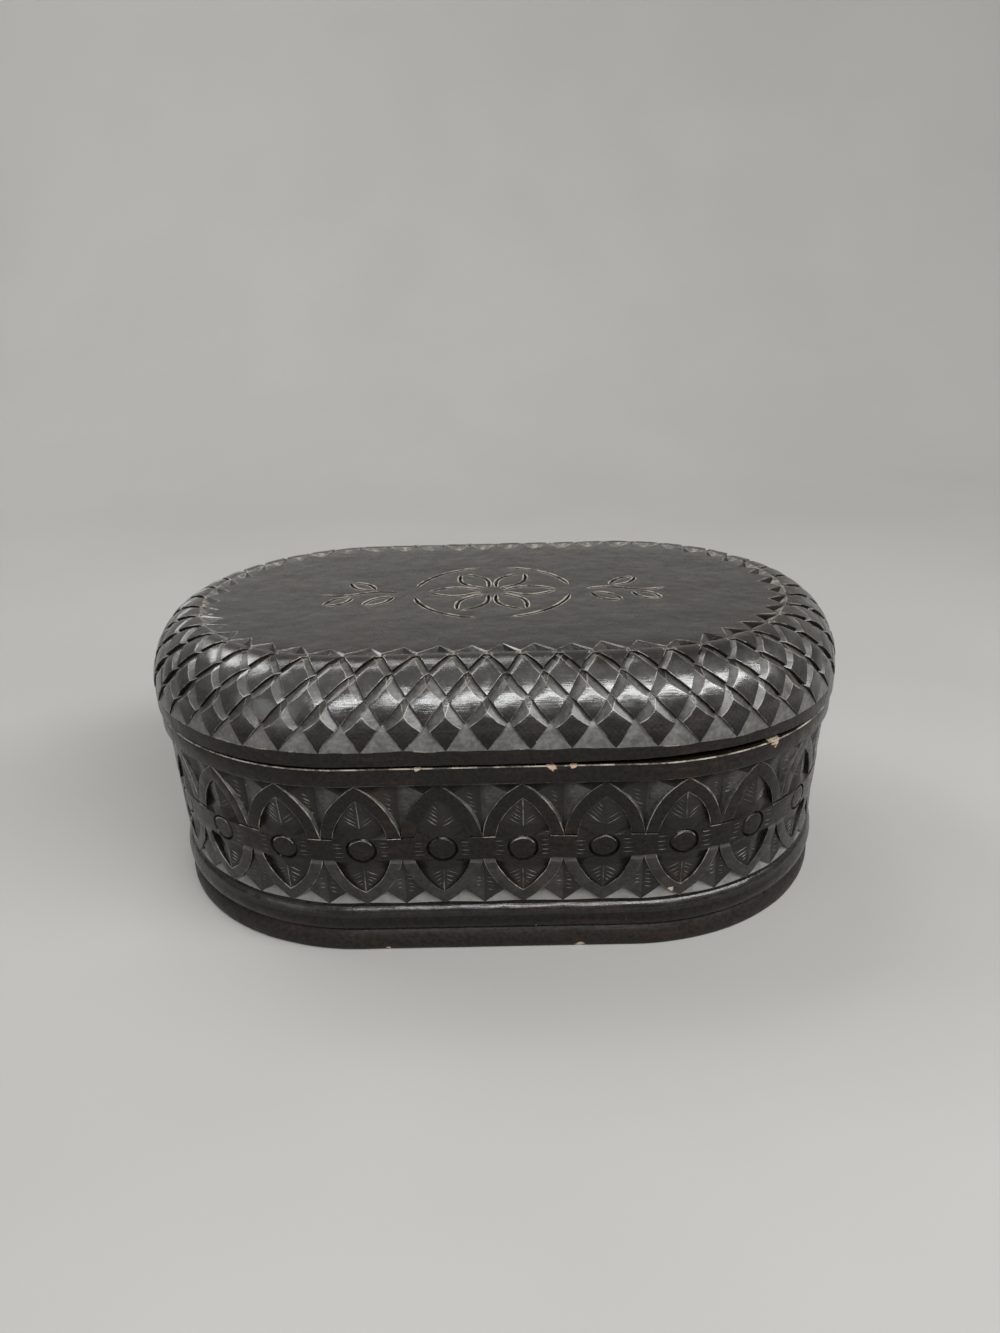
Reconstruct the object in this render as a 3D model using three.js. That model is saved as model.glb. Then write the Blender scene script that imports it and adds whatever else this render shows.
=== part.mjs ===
// Trinket box: a round-ended box of dark wood with a domed lid that lifts off.
// Units are millimetres, +Z is up and +X runs along the box. The origin is the middle of the underside.
import * as THREE from "three";
import { mergeVertices } from "three/addons/utils/BufferGeometryUtils.js";

// Plan of the lid, which is the widest piece: two half circles joined by straight sides
const lidLength = 200;
const lidWidth = 126;

// Base board
const boardThickness = 6;
const boardInset = 2.7; // how far the board's edge stands in from the lid's edge
const boardChamfer = 0.9;

// Box wall, from its foot on the board to its rim
const wallHeight = 51;
const wallThickness = 8; // at the rim
const rimInset = 0.9; // how far the rim stands in from the lid's edge
const rimBandHeight = 5;
const friezeRecess = 0.9; // the carved frieze's mean ground, behind the band above it
const friezeFootInset = 3.5; // the foot of the frieze, in from the lid's edge
const torusHeight = 8;
const torusBulge = 1.1;
const torusSetback = 0.9; // the torus's two quirks, behind the foot of the frieze

// Locating lip that stands on the inner half of the rim
const lipHeight = 4;
const lipThickness = 3.8;
const lipChamfer = 0.5;

// Lid
const lidBandHeight = 5;
const shoulderRise = 20;
const shoulderRun = 15;
const crownThickness = 9; // wood left above the hollow
const hollowCove = 6; // cove where the hollow's side turns into its ceiling
const lipClearance = 0.4; // all round the lip, between it and the lid's rebate

// Scales carved on the lid's shoulder: full rows under a row of half scales, each one pitch wide
const scalesRound = 52;
const scaleRows = 4; // steps of half a scale's height up the shoulder
const latticeShift = -1.1; // from the middle of the front to the tip of a scale
const scaleRelief = 0.2; // how far the faces stand proud of the shoulder's curve
const flankShare = 0.27; // part of a scale's side that the flank above its face takes
const scaleCut = 1.3; // depth of the grooves between the scales
const topCut = 0.5; // depth of the same grooves at the edge of the top
const notchReach = 4.2; // how far the notches reach in over the top
const notchFloor = 3.2; // how far in the deepest point of a notch lies
const notchDepth = 1;
const cornerReach = 1; // how far the grooves run out over the top, between two notches
const fieldInset = 6; // the plain field of the top, in from the end of the shoulder

// Frieze carved round the wall: pointed ovals, strung on a bar, with a leaf in each
const ovalsRound = 25;
const ovalShift = 7; // from the middle of the front to the middle of an oval
const barFoot = 14.8; // above the foot of the frieze
const barHeight = 6.6;
const strapWidth = 3.4;
const strapTip = 4; // from the outer to the inner tip of an oval
const ovalBow = 20; // how far past an oval's middle the centres of its arcs lie
const tipGap = 0.7; // from an oval's tip to the edge of the frieze
const leafDepth = 1.5; // at the strap, from where the leaf rises to the bar
const midribDepth = 0.25;
const groundDepth = 1.5; // halfway between two ovals
const groundRise = 0.4; // least depth beside a strap

// Fineness of the round parts
const roundSteps = 80;
const torusSteps = 6;
const coveSteps = 4;
const ovalSteps = 4;

// Radii and heights worked out from the sizes above
const lidRadius = lidWidth / 2;
const halfStraight = (lidLength - lidWidth) / 2;
const rimRadius = lidRadius - rimInset;
const cavityRadius = rimRadius - wallThickness;
const friezeFootRadius = lidRadius - friezeFootInset;
const rimZ = boardThickness + wallHeight;
const lidTopZ = rimZ + lidBandHeight + shoulderRise;
const ceilingZ = lidTopZ - crownThickness;
const bandFoot = rimZ - rimBandHeight;
const friezeFootZ = boardThickness + torusHeight;
const friezeHeight = bandFoot - friezeFootZ;
const friezeHeadRadius = rimRadius - friezeRecess;
const friezePitch = (4 * halfStraight + 2 * Math.PI * friezeFootRadius) / ovalsRound;
const scalePitch = (4 * halfStraight + 2 * Math.PI * lidRadius) / scalesRound;

// Points on a quarter ellipse or half round, as [radius, height] pairs
function arcPoints(centre, radii, fromAngle, toAngle, steps) {
  const points = [];
  for (let i = 0; i <= steps; i += 1) {
    const angle = fromAngle + ((toAngle - fromAngle) * i) / steps;
    points.push([centre[0] + radii[0] * Math.cos(angle), centre[1] + radii[1] * Math.sin(angle)]);
  }
  return points;
}

// Merges shared vertices and drops the faces that shrink to nothing
function closedGeometry(geometry) {
  geometry.deleteAttribute("normal");
  geometry.deleteAttribute("uv");
  const merged = mergeVertices(geometry, 1e-4);
  const corners = merged.index.array;
  const kept = [];
  for (let i = 0; i < corners.length; i += 3) {
    const [a, b, c] = [corners[i], corners[i + 1], corners[i + 2]];
    if (a !== b && b !== c && c !== a) {
      kept.push(a, b, c);
    }
  }
  merged.setIndex(kept);
  merged.computeVertexNormals();
  return merged;
}

// Turns a profile about the upright axis, then draws its halves apart along X into the round-ended plan
function roundEnded(profile) {
  const points = profile.map(([radius, height]) => new THREE.Vector2(radius, height));
  const stepAngle = (2 * Math.PI) / roundSteps;
  const geometry = new THREE.LatheGeometry(points, roundSteps, stepAngle / 2);
  const position = geometry.attributes.position;
  for (let i = 0; i < position.count; i += 1) {
    const angle = stepAngle * (Math.floor(i / points.length) + 0.5);
    position.setX(i, position.getX(i) + Math.sign(Math.sin(angle)) * halfStraight);
  }
  geometry.rotateX(Math.PI / 2);
  return closedGeometry(geometry);
}

// The point at a share of the way round a round-ended outline, starting at the middle of the front
function planPoint(share, radius, height) {
  const bend = Math.PI * radius;
  const turned = share - Math.floor(share);
  let way = turned * (4 * halfStraight + 2 * bend) - halfStraight;
  if (way < 0) {
    return new THREE.Vector3(way + halfStraight, -radius, height);
  }
  const half = 2 * halfStraight + bend;
  const side = way < half ? 1 : -1;
  way = way < half ? way : way - half;
  if (way < bend) {
    const angle = way / radius - Math.PI / 2;
    const x = halfStraight + radius * Math.cos(angle);
    return new THREE.Vector3(side * x, side * radius * Math.sin(angle), height);
  }
  return new THREE.Vector3(side * (halfStraight - (way - bend)), side * radius, height);
}

// Adds a sheet of faces through rows of points. They face out where the rows run round the box and climb
function addSheet(corners, rows, mirrored = false) {
  for (let j = 0; j + 1 < rows.length; j += 1) {
    for (let i = 0; i + 1 < rows[j].length; i += 1) {
      const [a, b, c, d] = [rows[j][i], rows[j][i + 1], rows[j + 1][i + 1], rows[j + 1][i]];
      const faces = [a, b, d, b, c, d];
      corners.push(...(mirrored ? faces.reverse() : faces));
    }
  }
}

// Rings round the box for each [radius, height] of a profile, with columns at the same shares all round
function addRings(corners, profile, columns, firstShare) {
  const shares = Array.from({ length: columns + 1 }, (_, i) => firstShare + i / columns);
  const ring = ([radius, height]) => shares.map((share) => planPoint(share, radius, height));
  addSheet(corners, profile.map(ring));
}

// Closes a ring with faces that meet in the middle
function addCap(corners, radius, height, columns, firstShare, facesDown) {
  const middle = new THREE.Vector3(0, 0, height);
  for (let i = 0; i < columns; i += 1) {
    const here = planPoint(firstShare + i / columns, radius, height);
    const next = planPoint(firstShare + (i + 1) / columns, radius, height);
    corners.push(...(facesDown ? [middle, next, here] : [middle, here, next]));
  }
}

function skinGeometry(corners) {
  return closedGeometry(new THREE.BufferGeometry().setFromPoints(corners));
}

function wood(colour, roughness) {
  return new THREE.MeshStandardMaterial({ color: colour, roughness, metalness: 0 });
}

function namedMesh(name, geometry, material) {
  const mesh = new THREE.Mesh(geometry, material);
  mesh.name = name;
  return mesh;
}

// The board is the floor of the box, and its edge is the lowest band of the foot
function baseBoard() {
  const edge = lidRadius - boardInset;
  return roundEnded([
    [0, 0],
    [edge, 0],
    [edge, boardThickness - boardChamfer],
    [edge - boardChamfer, boardThickness],
    [0, boardThickness],
  ]);
}

// Points on the frieze: x along it, y up from its foot, depth in from its surface
function onFrieze(x, y, depth) {
  const share = x / (ovalsRound * friezePitch);
  const radius = friezeFootRadius + ((friezeHeadRadius - friezeFootRadius) * y) / friezeHeight - depth;
  return planPoint(share, radius, friezeFootZ + y);
}

// Half of a pointed arch from beside the bar to its tip, as [x, y] from the oval's middle
function archPoints(halfWidth, foot, tip) {
  const radius = halfWidth + ovalBow;
  const end = Math.acos(ovalBow / radius);
  const points = arcPoints([-ovalBow, foot], [radius, (tip - foot) / Math.sin(end)], 0, end, ovalSteps);
  points[ovalSteps][0] = 0;
  return points;
}

// A quarter of an oval and the ground beside it. side is 1 or -1, and edge is the frieze's top or its foot
function addQuarter(corners, middle, side, bar, edge) {
  const half = friezePitch / 2;
  const rising = Math.sign(edge - bar);
  const tip = edge - rising * tipGap;
  const outer = archPoints(half, bar, tip);
  const inner = archPoints(half - strapWidth, bar, tip - rising * strapTip);
  const place = (x, y, depth) => onFrieze(middle + side * x, y, depth);
  const leaf = (x) => midribDepth + ((leafDepth - midribDepth) * x) / (half - strapWidth);
  const ground = (x) => groundRise + ((groundDepth - groundRise) * x) / half;
  const ovalRows = [];
  const groundRows = [];
  for (let i = 0; i <= ovalSteps; i += 1) {
    const [outerX, outerY] = outer[i];
    const [innerX, innerY] = inner[i];
    const ribY = bar + ((inner[ovalSteps][1] - bar) * i) / ovalSteps;
    const valleyY = bar + ((tip - bar) * i) / ovalSteps;
    const valley = place(half, valleyY, groundDepth);
    const foot = i === 0 ? valley : place(outerX, outerY, ground(outerX));
    ovalRows.push([
      place(0, ribY, i === 0 ? 0 : midribDepth),
      place(innerX, innerY, i === 0 ? 0 : leaf(innerX)),
      place(innerX, innerY, 0),
      place(outerX, outerY, 0),
      foot,
    ]);
    const between = place((outerX + half) / 2, (outerY + valleyY) / 2, ground((outerX + half) / 2));
    groundRows.push([foot, i === 0 ? valley : between, valley]);
  }
  groundRows.push([0, half / 2, half].map((x) => place(x, edge, groundRise)));
  const mirrored = side * rising < 0;
  addSheet(corners, ovalRows, mirrored);
  addSheet(corners, groundRows, mirrored);
}

// The carved frieze, oval by oval
function addFrieze(corners) {
  const barHead = barFoot + barHeight;
  const beside = friezePitch / 2 - strapWidth;
  const stops = [-friezePitch / 2, -beside, 0, beside, friezePitch / 2];
  for (let k = 0; k < ovalsRound; k += 1) {
    const middle = ovalShift + k * friezePitch;
    for (const side of [-1, 1]) {
      addQuarter(corners, middle, side, barHead, friezeHeight);
      addQuarter(corners, middle, side, barFoot, 0);
    }
    addSheet(corners, [barFoot, barHead].map((y) => stops.map((x) => onFrieze(middle + x, y, 0))));
  }
}

// The wall is one ring of wood: torus moulding, frieze, rim band, and the lip inside the rim
function boxWall() {
  const quirkRadius = friezeFootRadius - torusSetback;
  const torusMiddle = boardThickness + torusHeight / 2;
  const lipRadius = cavityRadius + lipThickness;
  const lipZ = rimZ + lipHeight;
  const columns = 4 * ovalsRound; // as the edges of the frieze have
  const firstShare = (ovalShift / friezePitch - 0.5) / ovalsRound;
  const corners = [];
  addRings(corners, [
    [friezeHeadRadius - groundRise, bandFoot],
    [rimRadius, bandFoot],
    [rimRadius, rimZ],
    [lipRadius, rimZ],
    [lipRadius, lipZ - lipChamfer],
    [lipRadius - lipChamfer, lipZ],
    [cavityRadius, lipZ],
    [cavityRadius, boardThickness],
    ...arcPoints([quirkRadius, torusMiddle], [torusBulge + torusSetback, torusHeight / 2],
      -Math.PI / 2, Math.PI / 2, torusSteps),
    [friezeFootRadius - groundRise, friezeFootZ],
  ], columns, firstShare);
  addFrieze(corners);
  return skinGeometry(corners);
}

// The lid's shoulder, from its side to the edge of the top
const shoulder = new THREE.EllipseCurve(
  lidRadius - shoulderRun, rimZ + lidBandHeight, shoulderRun, shoulderRise, 0, Math.PI / 2);

// Points on the shoulder: x counts scales round the lid, y goes up from 0 to 1, relief stands out from it
function onShoulder(x, y, relief) {
  const spot = shoulder.getPointAt(y);
  const slope = shoulder.getTangentAt(y);
  return planPoint(x / scalesRound, spot.x + slope.y * relief, spot.y - slope.x * relief);
}

// Depth of the grooves at a height on the shoulder
function grooveDepth(y) {
  const fromTop = (1 - y) * scaleRows;
  return fromTop < 1 ? topCut + (scaleCut - topCut) * fromTop : scaleCut;
}

// How far a scale's face stands out at a height: not at all where it meets the lid's side or the top
function faceRelief(y) {
  return scaleRelief * Math.min(1, y * scaleRows, (1 - y) * scaleRows);
}

// One scale with its top corner at x, row steps below the top: flanks above, a plain face, steep edges below
function addScale(corners, x, row) {
  const lowest = row === scaleRows - 2;
  const stops = [0, flankShare, 1, 1];
  const rows = stops.map((a, i) => stops.map((b, j) => {
    const y = Math.max(0, 1 - (row + a + b) / scaleRows);
    const onFace = (i === 1 || i === 2) && (j === 1 || j === 2);
    const onFoot = lowest && a + b > 1 && (a === 1 || b === 1);
    const depth = onFoot ? grooveDepth(y) * (2 - a - b) : grooveDepth(y);
    return onShoulder(x + (a - b) / 2, y, onFace ? faceRelief(y) : -depth);
  }));
  addSheet(corners, rows);
}

// The half scale under the edge of the top, and the notch above it
function addTopScale(corners, x) {
  const tipY = 1 - 1 / scaleRows;
  const low = onShoulder(x, tipY, -grooveDepth(tipY));
  const high = onShoulder(x, tipY, faceRelief(tipY));
  const browY = 1 - flankShare / scaleRows;
  const half = (1 - flankShare) / 2;
  const left = onShoulder(x - 0.5, 1, -topCut);
  const right = onShoulder(x + 0.5, 1, -topCut);
  const edge = [left, left, onShoulder(x, 1, 0), right, right];
  addSheet(corners, [
    [low, high, high, high, low],
    [
      onShoulder(x - half, browY, -grooveDepth(browY)),
      onShoulder(x - half, browY, faceRelief(browY)),
      onShoulder(x, browY, faceRelief(browY)),
      onShoulder(x + half, browY, faceRelief(browY)),
      onShoulder(x + half, browY, -grooveDepth(browY)),
    ],
    edge,
  ]);
  const onTop = (step, reach, depth) => {
    return planPoint((x + step) / scalesRound, lidRadius - shoulderRun - reach, lidTopZ - depth);
  };
  const tip = onTop(0, notchReach, 0);
  const floor = onTop(0, notchFloor, notchDepth);
  addSheet(corners, [edge, [tip, floor, floor, floor, tip]]);
  addSheet(corners, [
    [left, tip, right],
    [onTop(-0.5, cornerReach, 0), tip, onTop(0.5, cornerReach, 0)],
    [-0.5, 0, 0.5].map((step) => onTop(step, fieldInset, 0)),
  ]);
}

// The plain triangle between two of the lowest scales, which rises from the groove to the lid's side
function addSunkTriangle(corners, x) {
  const rows = [1, 1 - flankShare, 0].map((share) => {
    const y = share / scaleRows;
    const half = (1 - share) / 2;
    return [-half, 0, half].map((step) => onShoulder(x + step, y, -grooveDepth(y) * share));
  });
  addSheet(corners, rows.reverse());
}

// The lid is one block, carved on its shoulder and flat on top, with a hollow and a rebate that fits the lip
function lid() {
  const rebateRadius = cavityRadius + lipThickness + lipClearance;
  const rebateZ = rimZ + lipHeight + lipClearance;
  const shoulderZ = rimZ + lidBandHeight;
  const columns = 2 * scalesRound; // one at each scale's tip and one between
  const shift = latticeShift / scalePitch;
  const corners = [];
  addCap(corners, cavityRadius - hollowCove, ceilingZ, columns, shift / scalesRound, true);
  addRings(corners, [
    ...arcPoints([cavityRadius - hollowCove, ceilingZ - hollowCove], [hollowCove, hollowCove],
      Math.PI / 2, 0, coveSteps),
    [cavityRadius, rebateZ],
    [rebateRadius, rebateZ],
    [rebateRadius, rimZ],
    [lidRadius, rimZ],
    [lidRadius, shoulderZ],
  ], columns, shift / scalesRound);
  for (let k = 0; k < scalesRound; k += 1) {
    for (let row = 0; row <= scaleRows - 2; row += 1) {
      addScale(corners, shift + k + (row % 2) / 2, row);
    }
    addTopScale(corners, shift + k + 0.5);
    addSunkTriangle(corners, shift + k + ((scaleRows - 1) % 2) / 2);
  }
  addCap(corners, lidRadius - shoulderRun - fieldInset, lidTopZ, columns, shift / scalesRound, false);
  return skinGeometry(corners);
}

const group = new THREE.Group();
group.add(namedMesh("base_board", baseBoard(), wood(0x2a2420, 0.5)));
group.add(namedMesh("box_wall", boxWall(), wood(0x2d2825, 0.45)));
group.add(namedMesh("lid", lid(), wood(0x2b2826, 0.4)));

export default group;
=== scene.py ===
# Carved trinket box: looks of the round-ended, ebonised wooden box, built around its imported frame.
import random
from bisect import bisect_right
from math import cos, exp, hypot, pi, radians, sin

import bmesh
import bpy
from bpy.props import FloatProperty, FloatVectorProperty, IntProperty, PointerProperty
from mathutils import Matrix, Vector, noise


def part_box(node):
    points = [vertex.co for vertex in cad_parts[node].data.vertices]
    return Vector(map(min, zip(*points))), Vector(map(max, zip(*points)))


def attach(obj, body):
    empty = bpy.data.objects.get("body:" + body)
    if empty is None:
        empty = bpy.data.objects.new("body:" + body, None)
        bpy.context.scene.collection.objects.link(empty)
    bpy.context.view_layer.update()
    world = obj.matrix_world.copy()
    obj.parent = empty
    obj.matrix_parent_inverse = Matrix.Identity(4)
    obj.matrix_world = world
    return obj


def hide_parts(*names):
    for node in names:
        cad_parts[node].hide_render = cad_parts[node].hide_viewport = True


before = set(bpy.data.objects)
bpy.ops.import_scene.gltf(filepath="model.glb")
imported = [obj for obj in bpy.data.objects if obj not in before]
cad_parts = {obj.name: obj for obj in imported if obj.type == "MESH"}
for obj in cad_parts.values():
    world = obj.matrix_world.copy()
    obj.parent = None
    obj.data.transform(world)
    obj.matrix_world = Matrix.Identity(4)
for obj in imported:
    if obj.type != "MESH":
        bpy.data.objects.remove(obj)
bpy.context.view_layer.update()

bl_info = {
    "name": "Carved Trinket Box",
    "version": (1, 0, 0),
    "blender": (4, 5, 0),
    "location": "View3D > Sidebar > Trinket Box",
    "description": "Carves the lid, wall and board of an ebonised trinket box and sets its stage",
    "category": "Add Mesh",
}

# The carving is worked flat on a bench, in millimetres: x runs round the box, y up it, h out of it
MM = 0.001
LID_LOW, LID_HIGH = (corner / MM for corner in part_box("lid"))
WALL_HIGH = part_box("box_wall")[1] / MM
BOARD_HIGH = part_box("base_board")[1] / MM

# Plan: two half circles joined by straight sides
LID_RADIUS = LID_HIGH.y
HALF_STRAIGHT = LID_HIGH.x - LID_HIGH.y
RIM_RADIUS = LID_RADIUS - 0.9
CAVITY_RADIUS = RIM_RADIUS - 8.0
LIP_RADIUS = CAVITY_RADIUS + 3.8
LIP_CLEARANCE = 0.4
FRIEZE_FOOT_RADIUS = LID_RADIUS - 3.5
FRIEZE_HEAD_RADIUS = RIM_RADIUS - 0.9
QUIRK_RADIUS = FRIEZE_FOOT_RADIUS - 0.9
BOARD_RADIUS = BOARD_HIGH.y

# Heights
RIM_Z = LID_LOW.z
LID_TOP_Z = LID_HIGH.z
SHOULDER_Z = RIM_Z + 5.0
LIP_Z = WALL_HIGH.z
CEILING_Z = LID_TOP_Z - 9.0
TORUS_FOOT_Z = BOARD_HIGH.z
TORUS_HEIGHT = 8.0
TORUS_BULGE = 2.0
FRIEZE_FOOT_Z = TORUS_FOOT_Z + TORUS_HEIGHT
FRIEZE_HEAD_Z = RIM_Z - 5.0
FRIEZE_HEIGHT = FRIEZE_HEAD_Z - FRIEZE_FOOT_Z

# Lid's shoulder and top
SHOULDER_RUN = 15.0
SHOULDER_STEPS = 32
FIELD_RADIUS = 39.0
COVE = 6.0
ROWS_OF_SCALES = 4
COLUMNS_PER_SCALE = 8
LATTICE_SHIFT = -0.105
SPREAD = 3.6
SPREAD_ROWS = 1.8
# Flanks in each row of scales: width, and how much narrower they end
FLANKS = ((0.17, -0.07), (0.31, 0.08), (0.34, 0.15))
SCALE_CREST = 0.62
SINK_CURVE = 1.2
EDGE_NODES = (0.0, 0.2, 0.33, 0.46, 0.6, 0.74, 0.88, 1.0)
TOP_NODES = (0.0, 0.1, 0.22, 0.36, 0.5, 0.64, 0.78, 0.9, 1.0)
# Across a groove: share of half its width, and share of its depth
GROOVE_SECTION = ((1.0, 0.0), (0.55, 0.05), (0.0, 1.0), (-0.55, 0.05), (-1.0, 0.0))

# Wander of lines cut by hand
WANDER_SEED = 5
WANDER_COARSE = 0.13
WANDER_FINE = 0.31
DEPTH_WANDER = 0.3

# Frieze tile: one oval with its middle at x = 0, and half a spandrel each side
FRIEZE_COLUMNS = 8
OVAL_SHIFT = 7.0
BAR_LOW = 14.6
BAR_HIGH = 21.4
BAR_MIDDLE = (BAR_LOW + BAR_HIGH) / 2
BAR_HALF = (BAR_HIGH - BAR_LOW) / 2
OVAL_TOP = 37.4
OVAL_FOOT = 0.8
DISC_HALF_WIDTH = 4.05
DISC_HALF_HEIGHT = 3.8
DISC_STEP = pi / 12
LEAF_RAMP = 2.8
HEAD_DEPTH = 1.0

# The materials read numbers on the faces. cut: dulled with dust, and rubbed pale above 1; on some facets it
# also paints light, one side of a chip lighter than the other. worn: rubbed through, and brighter where the
# edge looks up, a painted highlight. dark: kept from the haze with its painted top light, and from sheen, as
# painted shade in cuts and on faces in shadow. level: how far the face looks up. relief, on the points: how
# far they stand out; the deepest cuts are darkened by it as painted shade. Faces of knife nicks are known by
# how dark they are.
KNIFE_NICK = 0.5


# Plan and profiles

def on_plan(share, radius):
    """The point at a share of the way round the plan, from the front's middle, and the way out there."""
    bend = pi * radius
    way = (share % 1.0) * perimeter(radius)

    def round_end(x, turn):
        out = Vector((cos(turn), sin(turn), 0))
        return Vector((x, 0, 0)) + out * radius, out

    if way < HALF_STRAIGHT:
        return Vector((way, -radius, 0)), Vector((0, -1, 0))
    way -= HALF_STRAIGHT
    if way < bend:
        return round_end(HALF_STRAIGHT, way / radius - pi / 2)
    way -= bend
    if way < 2 * HALF_STRAIGHT:
        return Vector((HALF_STRAIGHT - way, radius, 0)), Vector((0, 1, 0))
    way -= 2 * HALF_STRAIGHT
    if way < bend:
        return round_end(-HALF_STRAIGHT, way / radius + pi / 2)
    way -= bend
    return Vector((way - HALF_STRAIGHT, -radius, 0)), Vector((0, -1, 0))


def perimeter(radius):
    return 4 * HALF_STRAIGHT + 2 * pi * radius


def shoulder_profile():
    """Points (y, radius, z) up the lid's side, over its shoulder and in to the flat field."""
    points = [(RIM_Z - SHOULDER_Z, LID_RADIUS, RIM_Z)]
    y, last = 0.0, (LID_RADIUS, SHOULDER_Z)
    for i in range(SHOULDER_STEPS + 1):
        turn = pi / 2 * i / SHOULDER_STEPS
        radius = LID_RADIUS - SHOULDER_RUN * (1 - cos(turn))
        z = SHOULDER_Z + (LID_TOP_Z - SHOULDER_Z) * sin(turn)
        y += hypot(radius - last[0], z - last[1])
        points.append((y, radius, z))
        last = (radius, z)
    points.append((y + last[0] - FIELD_RADIUS, FIELD_RADIUS, LID_TOP_Z))
    return points


def normals_of(points):
    """The way out at each profile point, as (outward, upward), halfway between its neighbours' slopes."""
    normals = []
    for i, _ in enumerate(points):
        before, after = points[max(i - 1, 0)], points[min(i + 1, len(points) - 1)]
        run, rise = after[1] - before[1], after[2] - before[2]
        length = hypot(run, rise)
        normals.append((rise / length, -run / length))
    return normals


def place_on(points, normals, y):
    """Radius, height and the two parts of the way out at a distance up a profile."""
    i = min(max(bisect_right(points, y, key=lambda point: point[0]) - 1, 0), len(points) - 2)
    low, high = points[i] + normals[i], points[i + 1] + normals[i + 1]
    t = (y - low[0]) / (high[0] - low[0])
    return [a + (b - a) * t for a, b in zip(low[1:], high[1:])]


def clear_of(y, low, high, fade):
    """1 between two heights, fading to 0 at both, so that wandering lines still meet their neighbours."""
    return max(0.0, min(1.0, (y - low) / fade, (high - y) / fade))


def fan(x, y, length, level, high):
    """How far the columns of scales lean towards the box's ends above the third row."""
    rise = clear_of(y, level * (ROWS_OF_SCALES - 1), high, level)
    if y > level * ROWS_OF_SCALES:
        rise = min(y / level - ROWS_OF_SCALES + 1, (high - y) / 2.0, SPREAD_ROWS)
    turn = sin(4 * pi * x / length)
    return SPREAD * turn ** 3 * max(0.0, rise)


def wrap(bench, length, points, wander, fade, radial, level=0.0):
    """Bends the flat carving round the box, with the wandering lines of hand work."""
    noise.seed_set(WANDER_SEED)
    normals = normals_of(points)
    relief = layer_of(bench.verts, "relief")
    low, high = points[0][0], points[-1][0]
    for vert in bench.verts:
        x, y, h = vert.co
        if level:
            x += fan(x, y, length, level, high)
        radius, z, *_ = place_on(points, normals, y)
        spot, _ = on_plan(x / length, radius)
        spot = Vector((spot.x, spot.y, z))
        drift = noise.noise_vector(spot * WANDER_COARSE) + noise.noise_vector(spot * WANDER_FINE) * 0.5
        hold = clear_of(y, low, high, fade)
        x += drift.x * wander * hold
        y += drift.y * wander * hold
        h *= 1 + DEPTH_WANDER * drift.z * hold
        radius, z, out, up = place_on(points, normals, y)
        if radial:
            out, up = 1.0, 0.0
        spot, way = on_plan(x / length, radius)
        vert[relief] = h
        vert.co = spot + way * (out * h) + Vector((0, 0, z + up * h))


# Bench work

def layer_of(items, name):
    """The numbers with this name on a bench's faces or points, made where there are none."""
    return items.layers.float.get(name) or items.layers.float.new(name)


def sheet(bench, rows):
    """A grid through the given points, row by row."""
    made = bmesh.ops.create_grid(bench, x_segments=len(rows[0]) - 1, y_segments=len(rows) - 1, size=1)
    for vert, place in zip(made["verts"], (point for row in rows for point in row)):
        vert.co = place


def tone(bench, since, value, low=0.0, high=1.0, layer="cut"):
    """Sets a number on the faces made since a count, where their slope is between two limits (1 is flat)."""
    mark = layer_of(bench.faces, layer)
    bench.faces.ensure_lookup_table()
    for face in bench.faces[since:]:
        face.normal_update()
        if low <= abs(face.normal.z) <= high:
            face[mark] = value


# Keeps faces from the haze with its painted top light, and from sheen: painted shade for cuts and faces in
# shadow
def darken(bench, since, value=1.0, low=0.0, high=1.0):
    tone(bench, since, value, low, high, "dark")


def as_mesh(bench, name):
    """Turns a bench into a mesh and frees it."""
    mesh = bpy.data.meshes.new(name)
    bench.to_mesh(mesh)
    bench.free()
    return mesh


def join(bench, part, offset=(0, 0, 0)):
    """Adds a finished part to the bench and frees it."""
    carried = as_mesh(part, "carried")
    carried.transform(Matrix.Translation(offset))
    bench.from_mesh(carried)
    bpy.data.meshes.remove(carried)


def panel(bench, outline, holes, height, cut=0.0):
    """A facet of one outline with holes in it, whose height is worked out at each corner."""
    flat = bmesh.new()
    for line in (outline, *holes):
        verts = [flat.verts.new((x, y, 0)) for x, y in line]
        for a, b in zip(verts, verts[1:] + verts[:1]):
            flat.edges.new((a, b))
    bmesh.ops.triangle_fill(flat, use_beauty=True, edges=flat.edges[:], normal=(0, 0, 1))
    for vert in flat.verts:
        vert.co.z = height(vert.co.x, vert.co.y)
    tone(flat, 0, cut)
    join(bench, flat)


def step(bench, line, low, high, upper=None, cut=0.0):
    """The steep cut between two heights along a line, or from it to another line."""
    since = len(bench.faces)
    sheet(bench, [[(x, y, low(x, y)) for x, y in line], [(x, y, high(x, y)) for x, y in upper or line]])
    tone(bench, since, cut)
    darken(bench, since)


def nick(bench, start, end, width, depth, height):
    """A knife nick with a sunk middle. Returns its outline, for the hole in its facet."""
    start, end = Vector(start), Vector(end)
    along = (end - start) / 2
    side = Vector((-along.y, along.x)).normalized() * width / 2
    middle = (start + end) / 2
    since = len(bench.faces)
    made = bmesh.ops.create_circle(bench, cap_ends=True, cap_tris=True, segments=4, radius=1)["verts"]
    for vert in made:
        u, v = vert.co.x, vert.co.y
        spot = middle + along * u + side * v
        sunk = depth if abs(u) + abs(v) < 0.5 else 0.0
        vert.co = (spot.x, spot.y, height(spot.x, spot.y) - sunk)
    tone(bench, since, 1.3)
    darken(bench, since, KNIFE_NICK)
    return [tuple(middle + along * u + side * v) for u, v in ((-1, 0), (0, -1), (1, 0), (0, 1))]


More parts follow.
